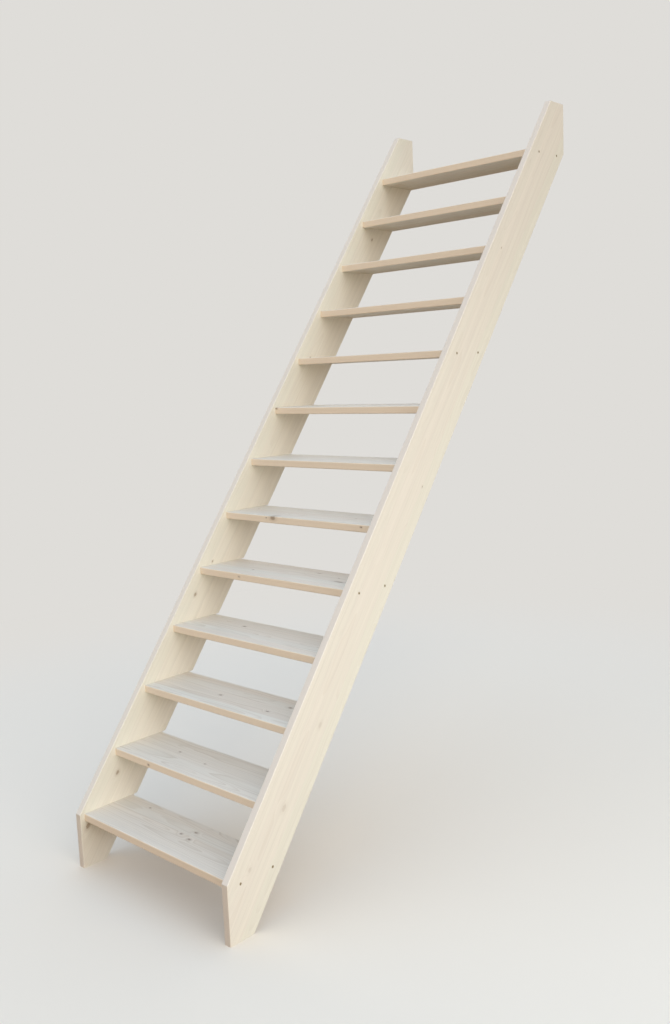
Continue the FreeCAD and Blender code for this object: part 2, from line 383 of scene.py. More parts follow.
        feeds = {0: late, MIX_A: linear(self.early), MIX_B: linear(self.late)}
        seasoned = add_node(tree, "ShaderNodeMix", feeds, data_type="RGBA")
        feeds = {0: chance.outputs[1], MIX_A: linear(self.pink_stave), MIX_B: linear(self.green_stave)}
        tone = add_node(tree, "ShaderNodeMix", feeds, data_type="RGBA")
        feeds = {0: 1.0, MIX_A: seasoned.outputs[MIX_COLOUR], MIX_B: tone.outputs[MIX_COLOUR]}
        toned = add_node(tree, "ShaderNodeMix", feeds, data_type="RGBA", blend_type="MULTIPLY")
        from_middle = add_node(tree, "ShaderNodeMath", {0: centred}, operation="ABSOLUTE")
        seam = 0.5 - self.glue_line / 2 / self.stave_width
        light = 1.0
        for source, low, high, (at_low, at_high) in (
            (streak.outputs[0], NOISE_LOW, NOISE_HIGH, self.streak_shades),
            (fibre.outputs[0], NOISE_LOW, NOISE_HIGH, self.fibre_shades),
            (from_middle, seam, 0.5, (1.0, self.glue_shade)),
        ):
            feeds = {0: source, 1: low, 2: high, "To Min": at_low, "To Max": at_high}
            shade = add_node(tree, "ShaderNodeMapRange", feeds)
            light = add_node(tree, "ShaderNodeMath", {0: shade, 1: light}, operation="MULTIPLY")
        feeds = {0: toned.outputs[MIX_COLOUR], "Scale": light}
        shaded = add_node(tree, "ShaderNodeVectorMath", feeds, operation="SCALE")
        tree.links.new(shaded.outputs[0], out.inputs["Colour"])
        tree.links.new(late.outputs[0], out.inputs["Late"])
        tree.links.new(fibre.outputs[0], out.inputs["Fibre"])
        return tree

    def rings(
        self,
        tree: bpy.types.NodeTree,
        place: tuple[bpy.types.NodeSocket, bpy.types.Node, bpy.types.NodeSocket],
        chance: bpy.types.Node,
        number: bpy.types.Node,
        push: bpy.types.NodeSocket,
    ) -> bpy.types.Node:
        """Add the nodes that tell summer wood from spring wood.

        Args:
            tree: The figure's group.
            place: Distance along the board, place across the stave from -0.5 to 0.5, and height.
            chance: Three random numbers of the stave.
            number: The stave's own number.
            push: How far a knot pushes the rings, in millimetres.

        Returns:
            A node whose output is 0 in spring wood and up to 1 in summer wood.
        """
        along, centred, through = place
        feeds = {0: centred, 1: self.stave_width}
        within = add_node(tree, "ShaderNodeMath", feeds, operation="MULTIPLY")
        # The pith lies well over or under the stave, and somewhat to its side.
        least, most = self.pith_away
        feeds = {0: chance.outputs[0], "To Min": -self.pith_aside, "To Max": self.pith_aside}
        aside = add_node(tree, "ShaderNodeMapRange", feeds)
        feeds = {0: chance.outputs[1], "To Min": least, "To Max": most}
        deep = add_node(tree, "ShaderNodeMapRange", feeds)
        feeds = {0: chance.outputs[2], 1: 0.5}
        over = add_node(tree, "ShaderNodeMath", feeds, operation="GREATER_THAN")
        sign = add_node(tree, "ShaderNodeMapRange", {0: over, "To Min": -1.0, "To Max": 1.0})
        pith = add_node(tree, "ShaderNodeMath", {0: deep, 1: sign}, operation="MULTIPLY")
        off_aside = add_node(tree, "ShaderNodeMath", {0: within, 1: aside}, operation="SUBTRACT")
        off_deep = add_node(tree, "ShaderNodeMath", {0: through, 1: pith}, operation="SUBTRACT")
        spoke = add_node(tree, "ShaderNodeCombineXYZ", {0: off_aside, 1: off_deep})
        radius = add_node(tree, "ShaderNodeVectorMath", {0: spoke}, operation="LENGTH")

        # The trunk tapers and wanders, which closes the lines into long flames.
        feeds = {0: chance.outputs[0], "To Min": self.taper, "To Max": -self.taper}
        lean = add_node(tree, "ShaderNodeMapRange", feeds)
        taper = add_node(tree, "ShaderNodeMath", {0: along, 1: lean}, operation="MULTIPLY")
        trunk = add_node(tree, "ShaderNodeCombineXYZ", {0: along, 1: within, 2: through})
        length, width = self.bend
        feeds = {0: trunk, 1: (1 / length, 1 / width, 1 / width)}
        bend = add_node(tree, "ShaderNodeVectorMath", feeds, operation="MULTIPLY")
        feeds = {"Vector": bend, "W": number, "Scale": 1.0, "Detail": 2.0, "Roughness": 0.42}
        wander = add_node(tree, "ShaderNodeTexNoise", feeds, noise_dimensions="4D")
        feeds = {0: wander.outputs[0], "To Min": -self.wander, "To Max": self.wander}
        drift = add_node(tree, "ShaderNodeMapRange", feeds)
        reach = radius.outputs["Value"]
        for part in (taper, drift, push):
            reach = add_node(tree, "ShaderNodeMath", {0: reach, 1: part}, operation="ADD")

        # Good and poor summers make wide and narrow rings.
        feeds = {"W": reach, "Scale": self.spells, "Detail": 1.0}
        summers = add_node(tree, "ShaderNodeTexNoise", feeds, noise_dimensions="1D")
        feeds = {0: summers.outputs[0], "To Min": -self.summers, "To Max": self.summers}
        uneven = add_node(tree, "ShaderNodeMapRange", feeds)
        grown = add_node(tree, "ShaderNodeMath", {0: reach, 1: uneven}, operation="ADD")
        years = add_node(tree, "ShaderNodeMath", {0: grown, 1: self.ring_width}, operation="DIVIDE")
        season = add_node(tree, "ShaderNodeMath", {0: years}, operation="FRACT")
        year = add_node(tree, "ShaderNodeMath", {0: years}, operation="FLOOR")
        summer = add_node(tree, "ShaderNodeTexWhiteNoise", {"W": year}, noise_dimensions="1D")
        feeds = {0: summer.outputs["Value"], "To Min": self.faintest, "To Max": 1.0}
        strength = add_node(tree, "ShaderNodeMapRange", feeds)
        ripening = add_node(tree, "ShaderNodeFloatCurve", {"Value": season})
        curve = ripening.mapping.curves[0]
        first, *between, last = self.ripening
        curve.points[0].location = first
        curve.points[1].location = last
        for at, height in between:
            curve.points.new(at, height)
        ripening.mapping.update()
        return add_node(tree, "ShaderNodeMath", {0: ripening, 1: strength}, operation="MULTIPLY")


@dataclass(frozen=True)
class ZincPlatedSteel:
    """Cold-formed steel screw with a thin passivated zinc plate: dull, slightly yellow metal.

    Attributes:
        name: What the finish is called.
        plate: Colour of the plate.
        shaded: Colour of the plate where it is thin or dusty.
        spangle: Width of a spangle of zinc.
        roughness: Roughness of its smoothest and its roughest spangles.
        relief: Height of the spangles.
        relief_shows: Share of that height that the light picks out.
    """

    name: str = "zinc_plated_steel"
    plate: str = "D0C2A4"
    shaded: str = "9C8D75"
    spangle: float = 1.0 * MM
    roughness: tuple[float, float] = (0.26, 0.51)
    relief: float = 0.03 * MM
    relief_shows: float = 0.4

    def material(self) -> bpy.types.Material:
        """Make the material.

        Returns:
            The material.
        """
        material = bpy.data.materials.new(self.name)
        material.use_nodes = True
        tree = material.node_tree
        surface = tree.nodes["Principled BSDF"]
        surface.inputs["Metallic"].default_value = 1.0
        place = add_node(tree, "ShaderNodeTexCoord")
        feeds = {"Vector": place.outputs["Object"], "Scale": 1 / self.spangle, "Detail": 3.0}
        spangle = add_node(tree, "ShaderNodeTexNoise", feeds)
        feeds = {0: spangle.outputs[0], MIX_A: linear(self.plate), MIX_B: linear(self.shaded)}
        colour = add_node(tree, "ShaderNodeMix", feeds, data_type="RGBA")
        smoothest, roughest = self.roughness
        feeds = {0: spangle.outputs[0], "To Min": smoothest, "To Max": roughest}
        rough = add_node(tree, "ShaderNodeMapRange", feeds)
        feeds = {"Height": spangle.outputs[0], "Distance": self.relief}
        bump = add_node(tree, "ShaderNodeBump", feeds | {"Strength": self.relief_shows})
        tree.links.new(colour.outputs[MIX_COLOUR], surface.inputs["Base Color"])
        tree.links.new(rough.outputs[0], surface.inputs["Roughness"])
        tree.links.new(bump.outputs[0], surface.inputs["Normal"])
        return material


@dataclass(frozen=True)
class Board:
    """One board's wood: which way its grain runs, where it is measured from, and its knots.

    Attributes:
        node: The node that is the board.
        number: Number that sets this board's staves apart from the others'.
        corner: Corner that the knots are measured from, at the middle of the board's thickness.
        grain: Direction of the grain.
        width: Direction across the board.
        knots: The knots that the board shows.
    """

    node: str
    number: int
    corner: Vector
    grain: Vector
    width: Vector
    knots: tuple[Knot, ...]

    def dress(
        self,
        cad_node: bpy.types.Object,
        finish: PlanedSpruce,
        figure: bpy.types.NodeTree,
        knot: bpy.types.NodeTree,
    ) -> None:
        """Give the board its own wood.

        Args:
            cad_node: The board's object.
            finish: The finish that the board has.
            figure: The finish's node group.
            knot: The node group for one knot.
        """
        material = bpy.data.materials.new(f"{finish.name}_{self.node}")
        material.use_nodes = True
        tree = material.node_tree
        surface = tree.nodes["Principled BSDF"]
        surface.inputs["Specular IOR Level"].default_value = finish.specular
        coordinates = add_node(tree, "ShaderNodeTexCoord")
        place = self.measure(tree, coordinates.outputs["Object"])
        passed = {"Push": 0.0, "Knotty": 0.0, "Halo": 0.0}
        for one in self.knots:
            feeds = {
                "Place": place,
                "Middle": (one.along, one.across, one.through),
                "Draw": one.branch.value,
                "Radius": one.radius,
                "Depth": one.depth,
            }
            stage = add_node(tree, "ShaderNodeGroup", feeds | passed, node_tree=knot)
            passed = {name: stage.outputs[name] for name in passed}
        feeds = {"Place": place, "Board": float(self.number), "Push": passed["Push"]}
        wood = add_node(tree, "ShaderNodeGroup", feeds, node_tree=figure)

        # Long edges lean to a colour that is partly edge grain and partly painted light; cut ends lean
        # to the darker end grain.
        leanings = []
        for way, (begins, full), tint in (
            (self.width, finish.edge_facing, finish.edge),
            (self.grain, finish.end_facing, finish.end),
        ):
            feeds = {0: coordinates.outputs["Normal"], 1: way}
            facing = add_node(tree, "ShaderNodeVectorMath", feeds, operation="DOT_PRODUCT")
            feeds = {0: facing.outputs["Value"]}
            either_way = add_node(tree, "ShaderNodeMath", feeds, operation="ABSOLUTE")
            feeds = {0: either_way, 1: begins, 2: full, "To Max": finish.leaning}
            leanings.append((add_node(tree, "ShaderNodeMapRange", feeds), tint))
        for name, most in zip(("Halo", "Knotty"), finish.stains):
            feeds = {0: passed[name], 1: most}
            amount = add_node(tree, "ShaderNodeMath", feeds, operation="MULTIPLY")
            leanings.append((amount, finish.knot))
        colour = wood.outputs["Colour"]
        for amount, tint in leanings:
            feeds = {0: amount, MIX_A: colour, MIX_B: linear(tint)}
            mixed = add_node(tree, "ShaderNodeMix", feeds, data_type="RGBA")
            colour = mixed.outputs[MIX_COLOUR]

        spring, summer = finish.roughness
        feeds = {0: wood.outputs["Late"], "To Min": spring, "To Max": summer}
        rough = add_node(tree, "ShaderNodeMapRange", feeds)
        feeds = {0: wood.outputs["Late"], 1: wood.outputs["Fibre"]}
        height = add_node(tree, "ShaderNodeMath", feeds, operation="ADD")
        feeds = {"Height": height, "Distance": finish.relief, "Strength": finish.relief_shows}
        bump = add_node(tree, "ShaderNodeBump", feeds)
        tree.links.new(colour, surface.inputs["Base Color"])
        tree.links.new(rough.outputs[0], surface.inputs["Roughness"])
        tree.links.new(bump.outputs[0], surface.inputs["Normal"])
        cad_node.material_slots[0].material = material

    def measure(self, tree: bpy.types.NodeTree, place: bpy.types.NodeSocket) -> bpy.types.Node:
        """Add the nodes that measure a place from the board's corner.

        Args:
            tree: The board's material.
            place: Object coordinates, in metres.

        Returns:
            A node whose output is millimetres along, across and through the board.
        """
        feeds = {0: place, 1: self.corner}
        from_corner = add_node(tree, "ShaderNodeVectorMath", feeds, operation="SUBTRACT")
        lengths = {}
        for axis, way in enumerate((self.grain, self.width, self.grain.cross(self.width))):
            feeds = {0: from_corner, 1: way / MM}
            length = add_node(tree, "ShaderNodeVectorMath", feeds, operation="DOT_PRODUCT")
            lengths[axis] = length.outputs["Value"]
        return add_node(tree, "ShaderNodeCombineXYZ", lengths)


@dataclass(frozen=True)
class PhotoCamera:
    """Camera that stands where the photograph was taken from, at about eye height.

    Attributes:
        location: Where it stands, in metres.
        heading: How far it is turned to the left from looking along the stair's run.
        pitch: How far it looks up.
        roll: How far it is tilted.
        focal_length_px: Its focal length, in pixels of the photograph.
        frame_height_px: Height of the photograph, its longer side.
        sensor_mm: Length of the sensor's longer side.
    """

    location: tuple[float, float, float] = (3.026, -1.860, 1.731)
    heading: float = math.radians(43.13)
    pitch: float = math.radians(-7.95)
    roll: float = math.radians(-2.47)
    focal_length_px: float = 992.5
    frame_height_px: float = 1024.0
    sensor_mm: float = 36.0

    def place(self) -> bpy.types.Object:
        """Make the camera and make it the scene's own.

        Returns:
            The camera object.
        """
        level = Vector((math.cos(self.heading), math.sin(self.heading), 0.0))
        ahead = Vector(
            (
                -math.sin(self.heading) * math.cos(self.pitch),
                math.cos(self.heading) * math.cos(self.pitch),
                math.sin(self.pitch),
            )
        )
        upright = level.cross(ahead)
        across = level * math.cos(self.roll) + upright * math.sin(self.roll)
        up = upright * math.cos(self.roll) - level * math.sin(self.roll)
        data = bpy.data.cameras.new("photo_camera")
        data.sensor_width = self.sensor_mm
        data.lens = self.focal_length_px / self.frame_height_px * self.sensor_mm
        camera = bpy.data.objects.new("photo_camera", data)
        turn = Matrix((across, up, -ahead)).transposed().to_4x4()
        camera.matrix_world = Matrix.Translation(self.location) @ turn
        bpy.context.scene.collection.objects.link(camera)
        bpy.context.scene.camera = camera
        return camera


@dataclass(frozen=True)
class Lamp:
    """Distant soft lamp, which lights the whole stair evenly.

    Attributes:
        name: The lamp's name.
        way: Direction from the stair to the lamp.
        strength: Light on a face that looks straight at it.
        colour: Colour of its light.
        breadth: How wide the lamp looks from the stair.
    """

    name: str
    way: tuple[float, float, float]
    strength: float
    colour: str
    breadth: float = math.radians(60.0)

    def hang(self) -> None:
        """Hang the lamp."""
        data = bpy.data.lights.new(self.name, "SUN")
        data.angle = self.breadth
        data.energy = self.strength
        data.color = linear(self.colour)[:3]
        lamp = bpy.data.objects.new(self.name, data)
        lamp.matrix_world = Vector(self.way).to_track_quat("Z", "Y").to_matrix().to_4x4()
        bpy.context.scene.collection.objects.link(lamp)


@dataclass(frozen=True)
class SidePanel:
    """Lit panel that stands on the floor to the right, whose light fades up the stair.

    Attributes:
        middle: Where its middle is.
        size: Its width and height.
        watts: Its power.
        colour: Colour of its light.
        beam: Angle that its light spreads over.
    """

    middle: tuple[float, float, float] = (4.7, 0.3, 0.85)
    size: tuple[float, float] = (3.4, 1.6)
    watts: float = 26.0
    colour: str = "F0F6FA"
    beam: float = math.radians(110.0)

    def stand(self) -> None:
        """Stand the panel on the floor, turned to the stair."""
        data = bpy.data.lights.new("side_panel", "AREA")
        data.shape = "RECTANGLE"
        data.size, data.size_y = self.size
        data.spread = self.beam
        data.energy = self.watts
        data.color = linear(self.colour)[:3]
        panel = bpy.data.objects.new("side_panel", data)
        turn = X_WAY.to_track_quat("Z", "Y").to_matrix().to_4x4()
        panel.matrix_world = Matrix.Translation(self.middle) @ turn
        panel.visible_camera = False
        bpy.context.scene.collection.objects.link(panel)


@dataclass(frozen=True)
class Studio:
    """Pale floor and backdrop with no edge between them, three soft lamps, a panel and room light.

    Attributes:
        backdrop: Colour of what lies behind the floor, and of the far floor.
        floor_paint: Paint of the near floor as the camera sees it, lit by the lamps.
        floor_glow: Colour that the floor throws back on the stair, warm as a timber floor.
        floor_radius: Radius of the floor in metres.
        floor_sides: Sides of its round edge.
        floor_fade: Distances from its middle at which it begins to fade, and has faded.
        zenith: Colour of the light from above.
        horizon: Colour of the light from all round.
        room_light: Strength of both.
        lamps: The soft lamps. The high one gives the shade, and the two others open it.
        panel: The lit panel.
    """

    backdrop: str = "DFDDD9"
    floor_paint: str = "F2EADC"
    floor_glow: str = "7C591E"
    floor_radius: float = 40.0
    floor_sides: int = 96
    floor_fade: tuple[float, float] = (1.6, 4.2)
    zenith: str = "C8E1FF"
    horizon: str = "B5AEA2"
    room_light: float = 1.06
    lamps: tuple[Lamp, ...] = (
        Lamp("high_window", (0.80, -0.36, 0.48), 1.1, "FFECD4"),
        Lamp("front_window", (-0.15, -1.0, 0.1), 0.58, "FFECE6"),
        Lamp("back_window", (-0.90, 0.42, 0.12), 0.9, "FFF4E8"),
    )
    panel: SidePanel = SidePanel()

    def build(self, middle: Vector) -> None:
        """Make the floor, the room's light, the lamps and the panel.

        Args:
            middle: Point on the floor below the middle of the stair.
        """
        self.lay_floor(middle)
        self.light_room()
        for lamp in self.lamps:
            lamp.hang()
        self.panel.stand()

    def lay_floor(self, middle: Vector) -> None:
        """Lay a round floor that fades into the backdrop away from the stair.

        Args:
            middle: Where its middle lies.
        """
        bpy.ops.mesh.primitive_circle_add(
            vertices=self.floor_sides, radius=self.floor_radius, fill_type="NGON", location=middle
        )
        floor = bpy.context.object
        floor.name = "studio_floor"
        material = bpy.data.materials.new("matt_floor_paint")
        material.use_nodes = True
        tree = material.node_tree
        tree.nodes.clear()
        place = add_node(tree, "ShaderNodeTexCoord")
        feeds = {0: place.outputs["Object"]}
        distance = add_node(tree, "ShaderNodeVectorMath", feeds, operation="LENGTH")
        begins, gone = self.floor_fade
        feeds = {0: distance.outputs["Value"], 1: begins, 2: gone}
        fade = add_node(tree, "ShaderNodeMapRange", feeds, interpolation_type="SMOOTHERSTEP")
        seen = self.seen_directly(tree)
        paint = add_node(tree, "ShaderNodeBsdfDiffuse", {"Color": linear(self.floor_paint)})
        glow = add_node(tree, "ShaderNodeBsdfDiffuse", {"Color": linear(self.floor_glow)})
        far = add_node(tree, "ShaderNodeEmission", {"Color": linear(self.backdrop)})
        near = add_node(tree, "ShaderNodeMixShader", {0: fade, 1: paint, 2: far})
        whole = add_node(tree, "ShaderNodeMixShader", {0: seen, 1: glow, 2: near})
        add_node(tree, "ShaderNodeOutputMaterial", {"Surface": whole})
        floor.data.materials.append(material)
        floor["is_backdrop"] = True

    def light_room(self) -> None:
        """Light the room softly: cool from above and warmer from all round."""
        world = bpy.data.worlds.new("soft_room")
        world.use_nodes = True
        bpy.context.scene.world = world
        tree = world.node_tree
        tree.nodes.clear()
        place = add_node(tree, "ShaderNodeTexCoord")
        parts = add_node(tree, "ShaderNodeSeparateXYZ", {0: place.outputs["Generated"]})
        feeds = {0: parts.outputs["Z"], MIX_A: linear(self.horizon), MIX_B: linear(self.zenith)}
        sky = add_node(tree, "ShaderNodeMix", feeds, data_type="RGBA")
        seen = self.seen_directly(tree)
        feeds = {"Color": sky.outputs[MIX_COLOUR], "Strength": self.room_light}
        lit = add_node(tree, "ShaderNodeBackground", feeds)
        shown = add_node(tree, "ShaderNodeBackground", {"Color": linear(self.backdrop)})
        whole = add_node(tree, "ShaderNodeMixShader", {0: seen, 1: lit, 2: shown})
        add_node(tree, "ShaderNodeOutputWorld", {"Surface": whole})

    @staticmethod
    def seen_directly(tree: bpy.types.NodeTree) -> bpy.types.NodeSocket:
        """Add nodes that tell what the camera, a reflection or a look through glass sees.

        Args:
            tree: Node tree that gets them.

        Returns:
            An output that is 1 for those rays and 0 for the others.
        """
        path = add_node(tree, "ShaderNodeLightPath")
        seen = path.outputs["Is Camera Ray"]
        for name in ("Is Glossy Ray", "Is Transmission Ray"):
            feeds = {0: seen, 1: path.outputs[name]}
            seen = add_node(tree, "ShaderNodeMath", feeds, operation="MAXIMUM").outputs[0]
        return seen


@dataclass
class Stringers:
    """The two raking side boards, whose staves and grain run up the slope.

    Attributes:
        finish: Their wood.
        base: Place along Y, on the floor, that their knots are measured from.
        numbers: Each board's number.
        knots: The knots that show in the photograph, measured up the slope and back from there.
    """

    finish: PlanedSpruce = PlanedSpruce(
        name="planed_spruce_stringer",
        early="F2F0E6",
        late="EDEADF",
        pink_stave="FFFAF6",
        green_stave="FDFCF6",
        # Painted highlight on the raking edges, with some of their edge grain's tone.
        edge="EFE5D8",
        end="DBCEBD",
        knot="9C8467",
        stave_width=50.0,
    )
    base: float = -0.2
    numbers: ClassVar[dict[Side, int]] = {Side.LEFT: 21, Side.RIGHT: 47}
    knots: ClassVar[dict[Side, tuple[Knot, ...]]] = {
        Side.LEFT: (
            Knot(437, 73, 5.5),
            Knot(1159, 50, 5.0),
            Knot(1310, 58, 3.5),
            Knot(228, 53, 7.0),
            Knot(2987, 109, 4.0),
            Knot(2305, 72, 3.5),
            Knot(1788, 69, 3.5),
        ),
        Side.RIGHT: (
            Knot(319, 67, 6.0, depth=0.22),
            Knot(530, 106, 8.0, depth=0.3),
            Knot(818, 118, 7.0, depth=0.22),
            Knot(1750, 150, 2.5),
            Knot(2780, 60, 2.5),
        ),
    }

    def dress(self, frame: dict, slope: Vector, knot: bpy.types.NodeTree) -> list[Board]:
        """Give both boards their wood.

        Args:
            frame: The loaded frame.
            slope: Direction up the slope.
            knot: The node group for one knot.

        Returns:
            The dressed boards.
        """
        figure = self.finish.figure()
        dressed = []
        width = Vector((0.0, slope.z, -slope.y))
        for side in Side:
            node = f"stringer_{side.name.lower()}"
            low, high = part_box(node)
            corner = Vector(((low.x + high.x) / 2, self.base, 0.0))
            board = Board(node, self.numbers[side], corner, slope, width, self.knots[side])
            board.dress(frame["nodes"][node], self.finish, figure, knot)
            dressed.append(board)
        return dressed


@dataclass
class Treads:
    """The thirteen treads, each a board glued up from narrower staves that run across the stair.

    Attributes:
        count: How many there are.
        finish: Their wood.
        most_knots: Most knots that a tread has beside those that show in the photograph.
        knots_along: Range of their distances from the tread's left end.
        knots_across: Range of their distances from its front edge.
        knot_radii: Range of their radii.
        seen_knots: Those that show in the photograph, for each tread that has any.
    """

    count: int = 13
    finish: PlanedSpruce = PlanedSpruce(
        name="planed_spruce_tread",
        early="ECE9E1",
        late="DAD4C8",
        pink_stave="FEF9F3",
        green_stave="FDFDFA",
        # Painted warm light on the fronts and backs, with some of their edge grain's tone.
        edge="FCE5C4",
        end="E2D6C6",
        knot="846B50",
        stave_width=42.0,
    )
    most_knots: int = 2
    knots_along: tuple[float, float] = (60.0, 740.0)
    knots_across: tuple[float, float] = (15.0, 195.0)
    knot_radii: tuple[float, float] = (2.0, 3.5)
    seen_knots: ClassVar[dict[int, tuple[Knot, ...]]] = {
        1: (Knot(420, 117, 4.0), Knot(474, 108, 4.5), Knot(455, 154, 4.5), Knot(165, 178, 3.0)),
        2: (Knot(240, 122, 3.5), Knot(401, 104, 3.0), Knot(213, 3, 3.5, -1.5, Branch.EDGE)),
        3: (Knot(339, 94, 4.5), Knot(609, 72, 4.5), Knot(648, 144, 5.0)),
        4: (Knot(266, 141, 5.0),),
        5: (
            Knot(675, 84, 5.5, branch=Branch.SPIKE),
            Knot(507, 160, 3.0, branch=Branch.SPIKE),
            Knot(240, 4, 3.5, 0.5, Branch.EDGE, 0.7),
        ),
        6: (
            Knot(282, 5, 8.0, 7.0, Branch.EDGE),
            Knot(246, 4, 2.5, 6.0, Branch.EDGE),
            Knot(732, 3, 3.0, 5.0, Branch.EDGE),
        ),
        8: (Knot(20, 3, 4.0, 10.0, Branch.EDGE),),
    }

    def dress(self, frame: dict, knot: bpy.types.NodeTree) -> list[Board]:
        """Give each tread its wood.

        Args:
            frame: The loaded frame.
            knot: The node group for one knot.

        Returns:
            The dressed treads.
        """
        figure = self.finish.figure()
        dressed = []
        for step in range(1, self.count + 1):
            node = f"tread_{step:02d}"
            low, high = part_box(node)
            corner = Vector((low.x, low.y, (low.z + high.z) / 2))
            draw = random.Random(step)
            ranges = (self.knots_along, self.knots_across, self.knot_radii)
            knots = self.seen_knots.get(step, ()) + tuple(
                Knot(*(draw.uniform(*span) for span in ranges))
                for _ in range(draw.randrange(self.most_knots + 1))
            )
            board = Board(node, step, corner, X_WAY, Y_WAY, knots)
            board.dress(frame["nodes"][node], self.finish, figure, knot)
            dressed.append(board)
        return dressed


